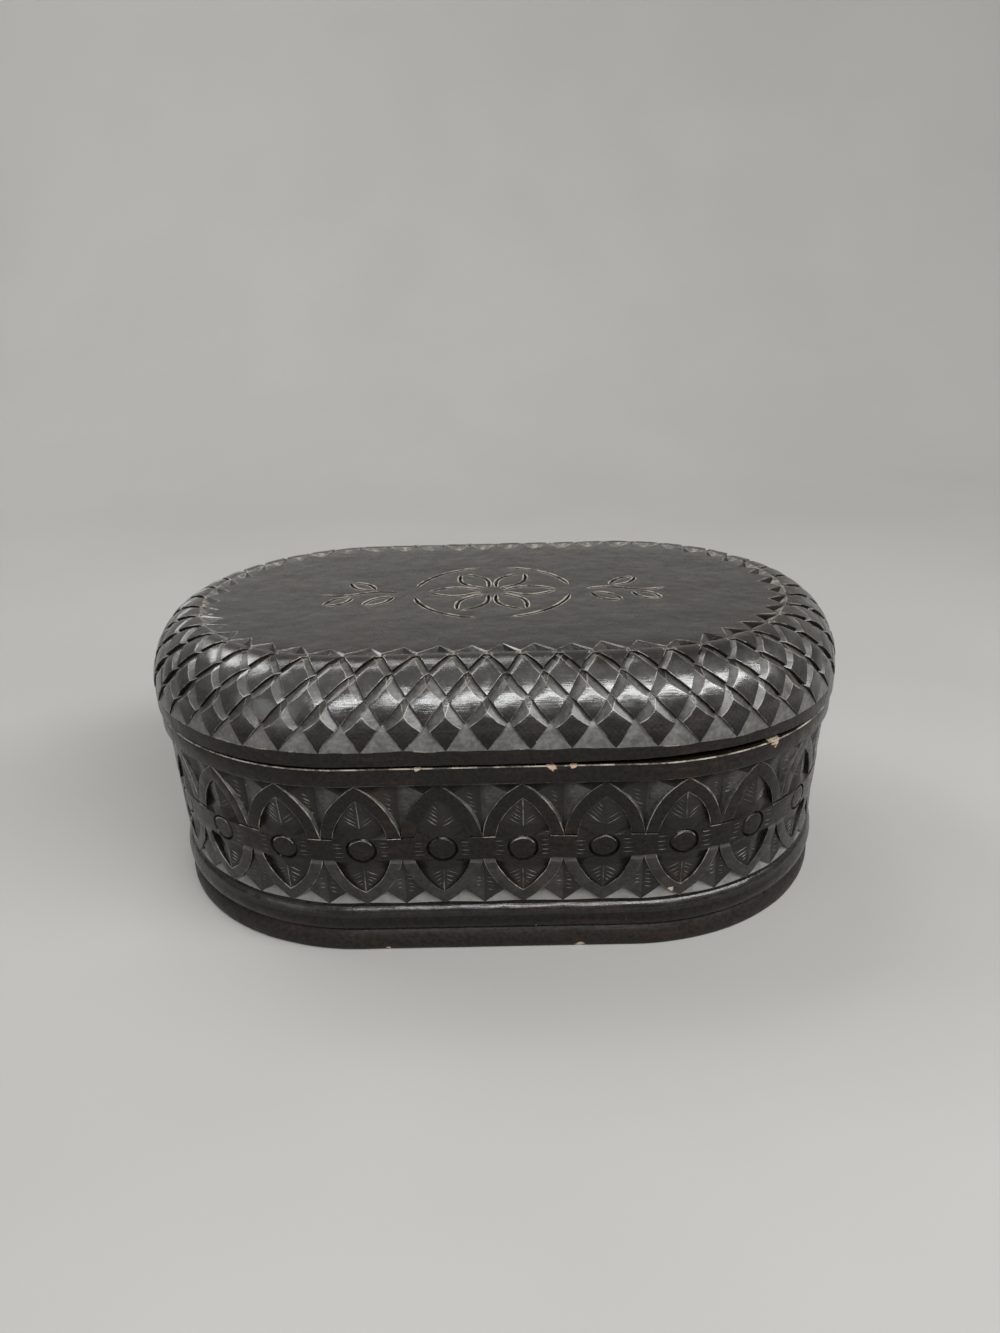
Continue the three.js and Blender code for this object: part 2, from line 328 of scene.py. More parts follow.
def groove(bench, line, width, depth, z):
    """A V-groove with worn lips along a line, tapering to a point at both ends. Returns its outline."""
    left, right, rows = [], [], []
    count = len(line) - 1
    for i, spot in enumerate(line):
        ahead = Vector(line[min(i + 1, count)]) - Vector(line[max(i - 1, 0)])
        taper = min(1.0, 2.6 * sin(pi * i / count)) ** 0.6
        side = Vector((-ahead.y, ahead.x)).normalized() * width / 2 * taper
        if i in (0, count):
            side = Vector((0, 0))
        spot = Vector(spot)
        sunk = depth * side.length / (width / 2)
        left.append(tuple(spot + side))
        right.append(tuple(spot - side))
        rows.append([(*(spot + side * reach), z - sunk * share) for reach, share in GROOVE_SECTION])
    since = len(bench.faces)
    sheet(bench, rows)
    # The groove's walls are kept dark: painted shade in the groove
    darken(bench, since)
    tone(bench, since, 1.8, 0.9, 1.0, "worn")
    return left + right[-2:0:-1]


def weld(bench, distance=0.004):
    bmesh.ops.remove_doubles(bench, verts=bench.verts[:], dist=distance)
    bmesh.ops.dissolve_degenerate(bench, dist=distance / 4, edges=bench.edges[:])


def ease_edges(bench, least, width, where, wear=1.0):
    """Rounds the outer edges sharper than some degrees, as handling does, but not those of knife nicks."""
    worn = layer_of(bench.faces, "worn")
    bench.normal_update()
    dark = layer_of(bench.faces, "dark")
    sharp = []
    for edge in bench.edges:
        knife_cut = any(face[dark] == KNIFE_NICK for face in edge.link_faces)
        if len(edge.link_faces) == 2 and not knife_cut and where(edge):
            if edge.calc_face_angle_signed(0.0) > radians(least):
                sharp.append(edge)
    made = bmesh.ops.bevel(bench, geom=sharp, offset=width, offset_type="OFFSET", segments=2,
                           profile=0.5, affect="EDGES", clamp_overlap=True, material=-1)
    for face in made["faces"]:
        face[worn] = wear


def roomy(edge, least):
    """True where no edge beside this one is so short that rounding would be held back by it."""
    return all(near.calc_length() > least for vert in edge.verts for near in vert.link_edges)


def arc(centre, radii, start, end, count):
    """Points on part of an ellipse."""
    spots = []
    for i in range(count + 1):
        turn = start + (end - start) * i / count
        spots.append((centre[0] + radii[0] * cos(turn), centre[1] + radii[1] * sin(turn)))
    return spots


def bow(start, pull, end, count):
    """Points on a curve that leaves start towards pull and comes to end from it."""
    spots = []
    for i in range(count + 1):
        t = i / count
        spots.append(tuple((1 - t) ** 2 * a + 2 * t * (1 - t) * b + t * t * c
                           for a, b, c in zip(start, pull, end)))
    return spots


def hoops(bench, shares, outline):
    """A skin round the box through rings given as (radius, z), where either may depend on the share."""
    rows = []
    for radius, z in outline:
        row = []
        for share in shares:
            r = radius(share) if callable(radius) else radius
            spot, _ = on_plan(share, r)
            row.append((spot.x, spot.y, z(share) if callable(z) else z))
        rows.append(row)
    sheet(bench, rows)


def closing_panel(bench, shares, radius, z, holes=()):
    """The flat that closes a ring."""
    outline = [on_plan(share, radius)[0] for share in shares[:-1]]
    panel(bench, [(spot.x, spot.y) for spot in outline], holes, lambda x, y: z)


def put(name, data):
    """Puts an object with this data into the scene."""
    item = bpy.data.objects.new(name, data)
    bpy.context.scene.collection.objects.link(item)
    return item


def finish_piece(bench, name, body, node, material, smooth_degrees):
    """Turns the bench into a piece in metres that rides on its body and stands for its node."""
    bmesh.ops.recalc_face_normals(bench, faces=bench.faces[:])
    level = layer_of(bench.faces, "level")
    for face in bench.faces:
        face[level] = face.normal.z
    bmesh.ops.transform(bench, matrix=Matrix.Diagonal((MM, MM, MM, 1)), verts=bench.verts[:])
    mesh = as_mesh(bench, name)
    mesh.shade_smooth()
    mesh.set_sharp_from_angle(angle=radians(smooth_degrees))
    mesh.materials.append(material)
    piece = put(name, mesh)
    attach(piece, body)
    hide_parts(node)


# Lid

def groove_depth(y, level):
    """How deep the grooves between the scales lie: shallow at the top, deepest above the lowest triangles."""
    row = ROWS_OF_SCALES - y / level
    if row < 1:
        return 0.45 + 0.45 * row
    if row < 2:
        return 0.9 + 0.1 * (row - 1)
    if row < 3:
        return 1.0 + 0.25 * (row - 2)
    return 1.25


def carve_scale(bench, x0, top_row, pitch, level, rng):
    """One scale. Two flanks rise out of the grooves above it to its face, whose lower edges are steep."""
    top = (ROWS_OF_SCALES - top_row) * level
    last = top_row == ROWS_OF_SCALES - 2
    width, narrowing = FLANKS[top_row]
    width += rng.uniform(-0.03, 0.03)
    lean_a, lean_b = rng.uniform(-0.32, 0.32), rng.uniform(-0.32, 0.32)
    lift = 0.2 + rng.uniform(-0.12, 0.12)
    crown = 0.45 + rng.uniform(-0.3, 0.3)

    def flank(s):
        return width - 0.02 - narrowing * s + 0.05 * sin(pi * s)

    def foot(a, b):
        y = top - (a + b) * level
        if last and (a == 1.0 or b == 1.0) and a + b >= 1.0:
            s = a + b - 1.0
            return -groove_depth(level, level) * (1 - s ** SINK_CURVE)
        return -groove_depth(y, level)

    rows = []
    count = len(EDGE_NODES)
    for j in range(count + 1):
        row = []
        for i in range(count + 1):
            fixed_a = EDGE_NODES[min(i, count - 1)]
            fixed_b = EDGE_NODES[min(j, count - 1)]
            a, b = fixed_a, fixed_b
            if 0 < i < count and 0 < j < count:
                free_a = (fixed_a - EDGE_NODES[1]) / (1 - EDGE_NODES[1])
                free_b = (fixed_b - EDGE_NODES[1]) / (1 - EDGE_NODES[1])
                a = flank(fixed_b) + (1 - flank(fixed_b)) * free_a
                b = flank(fixed_a) + (1 - flank(fixed_a)) * free_b
                off_a, off_b = a - SCALE_CREST, b - SCALE_CREST
                h = lift - crown * (off_a ** 2 + off_b ** 2)
                h += lean_a * off_a + lean_b * off_b
            else:
                h = foot(a, b)
            row.append((x0 + (a - b) * pitch / 2, top - (a + b) * level, h))
        rows.append(row)
    since = len(bench.faces)
    sheet(bench, rows)
    tone(bench, since, 0.8, 0.35, 0.95)
    # The lowest row's flanks and drops are kept partly from the haze and sheen: painted shade, darker than
    # the rows above
    if last:
        darken(bench, since, 0.6, 0.35, 0.95)


def carve_top_scale(bench, x0, pitch, level, rng):
    """The half scale under the edge of the top, which ends in the row of notches."""
    top = ROWS_OF_SCALES * level
    lift = 0.12 + rng.uniform(-0.05, 0.05)
    tilt = rng.uniform(-0.25, 0.25)
    rows = []
    for t in EDGE_NODES:
        y = top - t * level
        half = pitch / 2 * (1 - t)
        low = -groove_depth(y, level)
        row = [(x0 - half, y, low)]
        for share in TOP_NODES:
            h = lift * min(1.0, t * 4) + tilt * t * (1 - t) * (2 * share - 1)
            if t == 0.0 and share in (0.0, 1.0):
                h = low
            row.append((x0 + (2 * share - 1) * half, y, h))
        row.append((x0 + half, y, low))
        rows.append(row)
    sheet(bench, rows)


def carve_sunk_triangle(bench, x0, pitch, level):
    """The plain triangle between two of the lowest scales, rising from the groove to the lid's side."""
    deepest = groove_depth(level, level)
    across = [2 * i / COLUMNS_PER_SCALE - 1 for i in range(COLUMNS_PER_SCALE + 1)]
    rows = []
    for t in EDGE_NODES:
        y = level * (1 - t)
        half = pitch / 2 * t
        h = -deepest * (1 - t ** SINK_CURVE)
        rows.append([(x0 + share * half, y, h) for share in across])
    since = len(bench.faces)
    sheet(bench, rows)
    # Dust, and painted light: the triangle is painted lighter than the scales beside it
    tone(bench, since, 1.2)


def carve_notch(bench, x0, pitch, level, reach, field_y, rng):
    """The three-sided notch above a half scale, and the strip of the top round it."""
    top = ROWS_OF_SCALES * level
    corner = -groove_depth(top, level)
    reach = reach * (1 + rng.uniform(-0.16, 0.16))
    tip = (x0 + rng.uniform(-0.5, 0.5), top + reach, 0.0)
    floor = (x0 + rng.uniform(-0.4, 0.4), top + reach * 0.4, -1.05 + rng.uniform(-0.15, 0.15))
    left_x, right_x = x0 - pitch / 2, x0 + pitch / 2
    brow = [(left_x + pitch * share, top, corner if share in (0.0, 1.0) else 0.0) for share in TOP_NODES]

    def facet(side, cut):
        since = len(bench.faces)
        middle = [tuple((a + b) / 2 for a, b in zip(spot, floor)) for spot in side]
        sheet(bench, [side, middle, [floor] * len(side)])
        tone(bench, since, cut)
        darken(bench, since)
        return since

    # The base facet is painted pale: painted light, besides the dust in the cut
    base = facet(brow, 1.5)
    worn = layer_of(bench.faces, "worn")
    bench.faces.ensure_lookup_table()
    rubbed = rng.uniform(0.1, 0.8)
    for face in bench.faces[base:]:
        face[worn] = rubbed if abs(face.calc_center_median().x - floor[0]) < 0.8 else 0.0
    # The left facet is painted lighter than the right: painted light falling on one side
    facet([brow[0], tip], 0.6)
    facet([tip, brow[-1]], 0.0)
    shore = top + 0.8
    inner = [(left_x + pitch * i / COLUMNS_PER_SCALE, field_y) for i in range(COLUMNS_PER_SCALE + 1)]
    outline = [brow[0][:2], tip[:2], brow[-1][:2], (right_x, shore)] + inner[::-1] + [(left_x, shore)]
    panel(bench, outline, [], lambda x, y: corner if y < top + 1e-6 else 0.0)


def leaf_lines(base, heading, length, half_width):
    """The two bowed cuts that draw one leaf or petal."""
    along = Vector((cos(heading), sin(heading)))
    side = Vector((-along.y, along.x))
    bulge = [(t, 0.3 + half_width * sin(pi * t)) for t in (i / 10 for i in range(11))]
    return [[tuple(Vector(base) + along * length * t + side * hand * out) for t, out in bulge]
            for hand in (-1, 1)]


def ornament_lines():
    """Lines of the plain ornament: a six-petalled rosette in a broken ring, with a sprig each side."""
    lines = []
    for k in range(6):
        turn = pi / 3 * k
        lines += leaf_lines((3.0 * cos(turn), 3.0 * sin(turn)), turn, 16.0, 3.6)
    for k in range(4):
        start = pi / 2 * k + 0.17
        lines.append(arc((0, 0), (23.0, 23.0), start, start + pi / 2 - 0.34, 16))
    for hand in (-1, 1):
        lines.append([(hand * (27.0 + 24.0 * t), 1.5 * sin(pi * 2 * t))
                      for t in (i / 16 for i in range(17))])
        for base_x, lift, length in ((29.0, -1, 11.0), (35.0, 1, 11.0), (41.0, -1, 10.0)):
            heading = lift * 0.75 if hand > 0 else pi - lift * 0.75
            lines += leaf_lines((hand * base_x, lift * 3.0), heading, length, 2.0)
    return lines


def worn_edge(share):
    """How far the lid's lower edge is worn and lifted, most at the front's right."""
    spot, _ = on_plan(share, LID_RADIUS)
    wave = 0.3 * noise.noise(Vector((spot.x * 0.05, spot.y * 0.05, 3.0)))
    if spot.y < 0:
        wave += 1.25 * exp(-((spot.x - 56.0) / 24.0) ** 2)
    return max(0.95, 1.1 + wave)


def carve_lid(sizes, material):
    rng = random.Random(11)
    profile = shoulder_profile()
    arc_length, field_y = profile[-2][0], profile[-1][0]
    level = arc_length / ROWS_OF_SCALES
    length = perimeter(LID_RADIUS)
    pitch = length / sizes.scales_round
    shift = LATTICE_SHIFT * pitch
    bench = bmesh.new()
    for k in range(sizes.scales_round):
        x0 = shift + k * pitch
        carve_scale(bench, x0, 0, pitch, level, rng)
        carve_scale(bench, x0 + pitch / 2, 1, pitch, level, rng)
        carve_scale(bench, x0, 2, pitch, level, rng)
        carve_top_scale(bench, x0 + pitch / 2, pitch, level, rng)
        carve_sunk_triangle(bench, x0 + pitch / 2, pitch, level)
        carve_notch(bench, x0 + pitch / 2, pitch, level, sizes.notch_reach / MM, field_y, rng)
    count = sizes.scales_round * COLUMNS_PER_SCALE
    columns = [shift + pitch * i / COLUMNS_PER_SCALE for i in range(count + 1)]
    foot = RIM_Z - SHOULDER_Z
    sheet(bench, [[(x, foot + worn_edge(x / length), 0.0) for x in columns],
                  [(x, foot * 0.35, 0.0) for x in columns],
                  [(x, 0.0, 0.0) for x in columns]])
    wrap(bench, length, profile, wander=0.4, fade=3.0, radial=False, level=level)

    hollow_lid(bench, [x / length for x in columns])
    top_field(bench, [x / length + pitch / 2 / length for x in columns])
    weld(bench)
    bmesh.ops.recalc_face_normals(bench, faces=bench.faces[:])
    ease_edges(bench, 14, 0.14, lambda edge: roomy(edge, 0.35), 0.55)
    finish_piece(bench, "carved_lid", "lid", "lid", material, 18)


def hollow_lid(bench, shares):
    """The lid's underside: rim, rebate for the lip, hollow, cove and ceiling."""
    rebate_radius = LIP_RADIUS + LIP_CLEARANCE
    rebate_z = LIP_Z + LIP_CLEARANCE
    cove = arc((CAVITY_RADIUS - COVE, CEILING_Z - COVE), (COVE, COVE), 0.0, pi / 2, 6)
    hoops(bench, shares, [
        (LID_RADIUS, lambda share: RIM_Z + worn_edge(share)),
        (LID_RADIUS - 2.8, lambda share: RIM_Z + worn_edge(share) * 0.5),
        (rebate_radius, RIM_Z),
        (rebate_radius, rebate_z),
        (CAVITY_RADIUS, rebate_z),
        *cove,
    ])
    closing_panel(bench, shares, CAVITY_RADIUS - COVE, CEILING_Z)


def top_field(bench, shares):
    """The flat top inside the notches, with the plain ornament cut into it."""
    rings = (FIELD_RADIUS, 35.0, 31.0, 27.0)
    hoops(bench, shares, [(radius, LID_TOP_Z) for radius in rings])
    holes = [groove(bench, line, 1.7, 0.65, LID_TOP_Z) for line in ornament_lines()]
    closing_panel(bench, shares, rings[-1], LID_TOP_Z, holes)


# Wall

def leaf_height(x, y):
    """A leaf falls from its midrib to the strap, and runs out level with the bar."""
    fall = clear_of(abs(y - BAR_MIDDLE), BAR_HALF, FRIEZE_HEIGHT, LEAF_RAMP)
    return (-0.2 - 0.2 * abs(x)) * fall


def spandrel_height(x, y):
    return -0.35 - 0.19 * (abs(x) - 4.3)


def flush(x, y):
    return 0.0


def strap_height(x, y):
    """The straps lie flush with the bar and dip under it where they meet it."""
    return -0.32 if min(abs(y - BAR_HIGH), abs(y - BAR_LOW)) < 1e-6 else 0.0


def frieze_half(tile, side, half, rng):
    """One half of a frieze tile: half an oval with its leaf, the bar, and half of each spandrel."""
    outer_up = bow((half, BAR_HIGH), (9.6, 32.0), (0.0, OVAL_TOP), 14)
    inner_up = bow((7.0, BAR_HIGH), (5.9, 28.6), (0.0, 33.0), 12)
    outer_low = bow((half, BAR_LOW), (8.4, 5.75), (0.0, OVAL_FOOT), 14)
    inner_low = bow((7.3, BAR_LOW), (5.5, 8.15), (0.0, 4.5), 12)

    def mirrored(line):
        return [(side * x, y) for x, y in line]

    def facet(outline, holes, height, cut=0.0, dark=False):
        since = len(tile.faces)
        panel(tile, mirrored(outline), holes, height, cut)
        if dark:
            darken(tile, since)

    def nicks(marks, width, depth, height):
        made = []
        for x, y, dx, dy in marks:
            x, y = x + rng.uniform(-0.12, 0.12), y + rng.uniform(-0.2, 0.2)
            stretch = rng.uniform(0.8, 1.12)
            made.append(nick(tile, (side * x, y), (side * (x + dx * stretch), y + dy * stretch),
                             width * rng.uniform(0.8, 1.25), depth * rng.uniform(0.8, 1.2), height))
        return made

    disc = [(DISC_HALF_WIDTH * sin(turn), BAR_MIDDLE + DISC_HALF_HEIGHT * cos(turn))
            for turn in (DISC_STEP * i for i in range(13))]
    disc_top, disc_side, disc_low = disc[:3], disc[2:11], disc[:9:-1]

    # Straps and the bar that runs over their ends. The upper right strap has a sloping side
    slant = 0.6 if side > 0 else 0.0
    strap_side = [(x - slant * sin(pi * i / 14), y) for i, (x, y) in enumerate(outer_up)]
    facet(strap_side + inner_up[::-1], [], strap_height)
    facet(outer_low + inner_low[::-1], [], strap_height, 0.3)
    step(tile, mirrored([inner_up[0], outer_up[0]]), strap_height, flush)
    step(tile, mirrored([inner_low[0], outer_low[0]]), strap_height, flush)
    hatch = nicks([(4.7, BAR_MIDDLE + y, 2.6, 0.0) for y in (-2.0, -0.7, 0.8, 2.1)], 0.24, 0.2, flush)
    facet([*disc_side, inner_low[0], outer_low[0], outer_up[0], inner_up[0]], hatch, flush)

    # Leaves, each a short slope out of the bar and a blade with barbs that lean away from the disc
    def leaf(foot, edge_line, marks):
        turn = next(i for i, spot in enumerate(edge_line) if abs(spot[1] - edge_line[0][1]) > LEAF_RAMP)
        waist = (0.0, edge_line[turn][1])
        facet([*foot, *edge_line[:turn + 1], waist], [], leaf_height, 0.05, dark=True)
        barbs = nicks(marks, 0.3, 0.22, leaf_height)
        facet([waist, *edge_line[turn:]], barbs, leaf_height, 0.12)

    barbs = 2 if side > 0 else 5
    leaf(disc_top, inner_up, [(0.6, 24.9 + 1.25 * i, 3.4 - 0.5 * i, 2.1 - 0.2 * i) for i in range(barbs)])
    leaf(disc_low, inner_low, [(0.6, 11.2 - 1.25 * i, 3.1 - 0.7 * i, -1.9 + 0.35 * i) for i in range(4)])

    # Upper spandrel and the shallow chip above it
    turn_up = next(i for i, spot in enumerate(outer_up) if spot[0] < 4.6)
    corner = (half, FRIEZE_HEIGHT)
    hatch = nicks([(7.6 - 0.15 * i, 28.2 + 1.35 * i, 1.9, -1.2) for i in range(6)] if side > 0 else
                  [(8.2 - 0.2 * i, 30.4 + 1.3 * i, 1.7, -0.3) for i in range(4)], 0.27, 0.24, spandrel_height)
    # The spandrel's half on the oval's left gets more dust tone than the half on its right: painted light on
    # one side
    facet(outer_up[:turn_up + 1] + [corner], hatch, spandrel_height, 0.12 if side > 0 else 0.6)
    low_x = outer_up[turn_up][0]
    base = spandrel_height(low_x, 0)

    def chip_height(x, y):
        along = abs(x) / half
        if y > FRIEZE_HEIGHT - 0.01:
            return -HEAD_DEPTH + (spandrel_height(half, 0) + HEAD_DEPTH) * along
        if abs(x) >= low_x - 1e-6:
            return spandrel_height(x, y)
        return base + (-0.9 - base) * (1 - abs(x) / low_x)

    facet(outer_up[turn_up:] + [(0.0, FRIEZE_HEIGHT), corner], [], chip_height, dark=True)

    # Lower spandrel and the bright chip below it
    turn_low = next(i for i, spot in enumerate(outer_low) if spot[0] < 5.4)
    tip = (half, 0.6)
    meet = outer_low[turn_low]

    def lower_height(x, y):
        reach = (abs(x) - meet[0]) / (half - meet[0])
        valley = -0.33 - 1.17 * (y - tip[1]) / (BAR_LOW - tip[1])
        return -0.35 + (valley + 0.35) * reach

    def foot_height(x, y):
        return -0.15 - 0.45 * y

    hatch = nicks([(8.4, 5.6 + 1.3 * i, 1.4, 0.1) for i in range(3)] if side > 0 else
                  [(8.0, 4.4 + 1.2 * i, 1.8, 0.3) for i in range(5)], 0.27, 0.24, lower_height)
    # The spandrel's half on the oval's right gets more dust tone than the half on its left: painted light on
    # one side
    facet(outer_low[:turn_low + 1] + [tip], hatch, lower_height, 0.3 if side > 0 else 0.12)
    facet(outer_low[turn_low:] + [tip], [], foot_height, 2.0)
    facet([outer_low[-1], (0.0, 0.0), (half, 0.0), tip], [], foot_height, dark=True)
    step(tile, mirrored([meet, tip]), foot_height,
         lambda x, y: foot_height(x, y) if abs(x) > half - 1e-3 else lower_height(x, y))

    # Steep cuts beside the straps, the bar and the disc
    for part, height in ((slice(turn_up + 1), spandrel_height), (slice(turn_up, None), chip_height)):
        step(tile, mirrored(outer_up[part]), height, strap_height, mirrored(strap_side[part]), 0.9)
    for line, low, high in (
            (inner_up, leaf_height, strap_height),
            ([*disc_top, inner_up[0]], leaf_height, flush),
            (outer_low[:turn_low + 1], lower_height, strap_height),
            (outer_low[turn_low:], foot_height, strap_height),
            (inner_low, leaf_height, strap_height),
            ([*disc_low, inner_low[0]], leaf_height, flush)):
        step(tile, mirrored(line), low, high)


def frieze_disc(tile, rng):
    """The disc in the middle of an oval, with a sloping edge down to the knife cut round it."""
    crown = rng.uniform(-0.1, 0.12)

    def ring(share, h):
        wide, tall = DISC_HALF_WIDTH * share, DISC_HALF_HEIGHT * share
        return [(wide * sin(turn), BAR_MIDDLE + tall * cos(turn), h)
                for turn in (DISC_STEP * i for i in range(25))]

    edge = [(x, y, leaf_height(x, y) if abs(y - BAR_MIDDLE) > BAR_HALF else 0.0)
            for x, y, _ in ring(1.0, 0.0)]
    brink = ring(0.79, -0.02)
    since = len(tile.faces)
    sheet(tile, [edge, ring(0.95, -0.6), brink])
    darken(tile, since)
    sheet(tile, [brink, ring(0.5, crown * 0.7), ring(0.25, crown), ring(0.0, crown)])


def frieze_tile(pitch, rng):
    tile = bmesh.new()
    for side in (-1, 1):
        frieze_half(tile, side, pitch / 2, rng)
    frieze_disc(tile, rng)
    weld(tile)
    bmesh.ops.recalc_face_normals(tile, faces=tile.faces[:])
    if sum(face.normal.z for face in tile.faces) < 0:
        bmesh.ops.reverse_faces(tile, faces=tile.faces[:])

    def away_from_disc(edge):
        """True outside the knife cut round the disc, and on the upper part of the disc's own edge."""
        x, y, _ = (edge.verts[0].co + edge.verts[1].co) / 2
        share = hypot(x / DISC_HALF_WIDTH, (y - BAR_MIDDLE) / DISC_HALF_HEIGHT)
        return share > 1.03 or (share < 0.9 and y > BAR_MIDDLE + 1.2)

    def midrib(edge):
        """True along the middle of a leaf's blade."""
        return all(abs(vert.co.x) < 1e-4 and -0.21 < vert.co.z < -0.19 for vert in edge.verts)

    ease_edges(tile, 30, 0.17, away_from_disc, 0.6)
    # The midrib is rounded with a worn tone that also paints a bright highlight line along it
    ease_edges(tile, 2, 0.13, midrib, 0.35)
    for k in range(1, FRIEZE_COLUMNS):
        bmesh.ops.bisect_plane(tile, geom=tile.verts[:] + tile.edges[:] + tile.faces[:], dist=1e-4,
                               plane_co=(pitch * (k / FRIEZE_COLUMNS - 0.5), 0, 0), plane_no=(1, 0, 0))
    return tile


def carve_wall(sizes, material):
    rng = random.Random(23)
    profile = [(0.0, FRIEZE_FOOT_RADIUS, FRIEZE_FOOT_Z), (FRIEZE_HEIGHT, FRIEZE_HEAD_RADIUS, FRIEZE_HEAD_Z)]
    length = perimeter(FRIEZE_FOOT_RADIUS)
    pitch = length / sizes.ovals_round
    bench = bmesh.new()
    layer_of(bench.verts, "relief")
    layer_of(bench.faces, "worn")
    for k in range(sizes.ovals_round):
        join(bench, frieze_tile(pitch, rng), (OVAL_SHIFT + k * pitch, 0, 0))
    wrap(bench, length, profile, wander=0.35, fade=4.0, radial=True)

    count = sizes.ovals_round * FRIEZE_COLUMNS
    shares = [(OVAL_SHIFT - pitch / 2 + pitch * i / FRIEZE_COLUMNS) / length for i in range(count + 1)]

    def ledge_radius(share):
        along = abs((share * length - OVAL_SHIFT + pitch / 2) % pitch - pitch / 2) / (pitch / 2)
        return FRIEZE_HEAD_RADIUS - HEAD_DEPTH + (spandrel_height(pitch / 2, 0) + HEAD_DEPTH) * along

    def band_radius(share):
        spot, _ = on_plan(share, RIM_RADIUS)
        return RIM_RADIUS + 0.3 + 0.12 * noise.noise(spot * 0.06)

    def off_rim(edge):
        return [abs(vert.co.z - RIM_Z) for vert in edge.verts]

    torus = arc((QUIRK_RADIUS, TORUS_FOOT_Z + TORUS_HEIGHT / 2), (TORUS_BULGE, TORUS_HEIGHT / 2),
                -pi / 2, pi / 2, 12)
    rings = bmesh.new()
    hoops(rings, shares, [
        (ledge_radius, FRIEZE_HEAD_Z),
        (band_radius, FRIEZE_HEAD_Z),
        (band_radius, FRIEZE_HEAD_Z + 2.5),
        (band_radius, RIM_Z),
        (LIP_RADIUS, RIM_Z),
        (LIP_RADIUS, LIP_Z - 0.5),
        (LIP_RADIUS - 0.5, LIP_Z),
        (CAVITY_RADIUS, LIP_Z),
        (CAVITY_RADIUS, RIM_Z),
        (CAVITY_RADIUS, TORUS_FOOT_Z),
        *torus,
        (FRIEZE_FOOT_RADIUS - 0.15, FRIEZE_FOOT_Z),
    ])
    weld(rings)
    bmesh.ops.recalc_face_normals(rings, faces=rings.faces[:])
    # Painted shade: the rim band, torus and inner faces are kept partly from the haze and sheen, and the flat
    # ledges, among them the shelf in shadow under the lid and the ledge under the band, fully
    darken(rings, 0, 0.65)
    darken(rings, 0, 1.0, 0.95, 1.0)
    ease_edges(rings, 40, 0.27, lambda edge: max(off_rim(edge)) < 1e-3)
    ease_edges(rings, 40, 0.22, lambda edge: min(off_rim(edge)) > 1.0, 0.3)
    join(bench, rings)
    weld(bench)
    finish_piece(bench, "carved_wall", "box", "box_wall", material, 24)


# Board

def shape_board(sizes, material):
    count = sizes.ovals_round * FRIEZE_COLUMNS
    shares = [i / count for i in range(count + 1)]
    foot_inset, head_inset = 0.8, 1.4

    def edge(inset, wave):
        def radius(share):
            spot, _ = on_plan(share, BOARD_RADIUS)
            return BOARD_RADIUS - inset - wave * (0.5 + 0.5 * noise.noise(spot * 0.08))
        return radius

    bench = bmesh.new()
    hoops(bench, shares, [
        (edge(foot_inset, 0.0), 0.0),
        (edge(0.35, 0.25), 0.25),
        (edge(0.05, 0.15), 0.9),
        (edge(0.0, 0.1), 2.4),
        (edge(0.1, 0.1), 3.7),
        (edge(0.6, 0.2), 5.1),
        (edge(head_inset, 0.0), 6.0),
    ])
    closing_panel(bench, shares, BOARD_RADIUS - foot_inset, 0.0)
    closing_panel(bench, shares, BOARD_RADIUS - head_inset, TORUS_FOOT_Z)
    darken(bench, 0)
    weld(bench)
    finish_piece(bench, "plinth_board", "box", "base_board", material, 40)


# Materials

class Nodes:
    """Adds shader nodes to a tree. Inputs that come from a node are linked and the others are set."""

    def __init__(self, tree):
        self.tree = tree
        tree.nodes.clear()

    def add(self, kind, inputs=None, **settings):
        node = self.tree.nodes.new(kind)
        for name, value in settings.items():
            setattr(node, name, value)
        for name, value in (inputs or {}).items():
            socket = node.inputs[name]
            if isinstance(value, bpy.types.NodeSocket):
                self.tree.links.new(value, socket)
            else:
                socket.default_value = value
        return node

    def math(self, operation, a, b=0.0, clamp=False):
        return self.add("ShaderNodeMath", {0: a, 1: b}, operation=operation, use_clamp=clamp).outputs[0]

    def times(self, a, b, clamp=False):
        return self.math("MULTIPLY", a, b, clamp)

    def mix(self, share, a, b):
        """A mix of two colours, each from a node or given as red, green and blue."""
        a, b = (tint if isinstance(tint, bpy.types.NodeSocket) else (*tint, 1.0) for tint in (a, b))
        return self.add("ShaderNodeMix", {0: share, 6: a, 7: b}, data_type="RGBA").outputs[2]

    def blend(self, share, a, b):
        return self.add("ShaderNodeMix", {0: share, 2: a, 3: b}, data_type="FLOAT").outputs[0]

    def noise(self, vector, scale, detail=4.0, roughness=0.55):
        inputs = {"Vector": vector, "Scale": scale, "Detail": detail, "Roughness": roughness}
        return self.add("ShaderNodeTexNoise", inputs).outputs["Fac"]

    def ramp(self, value, low, high, to_low=0.0, to_high=1.0):
        return self.add("ShaderNodeMapRange", {0: value, 1: low, 2: high, 3: to_low, 4: to_high},
                        interpolation_type="SMOOTHSTEP").outputs[0]


def new_material(name):
    """A material, its nodes, and the place on the piece in metres."""
    material = bpy.data.materials.new(name)
    material.use_nodes = True
    n = Nodes(material.node_tree)
    return material, n, n.add("ShaderNodeTexCoord").outputs["Object"]


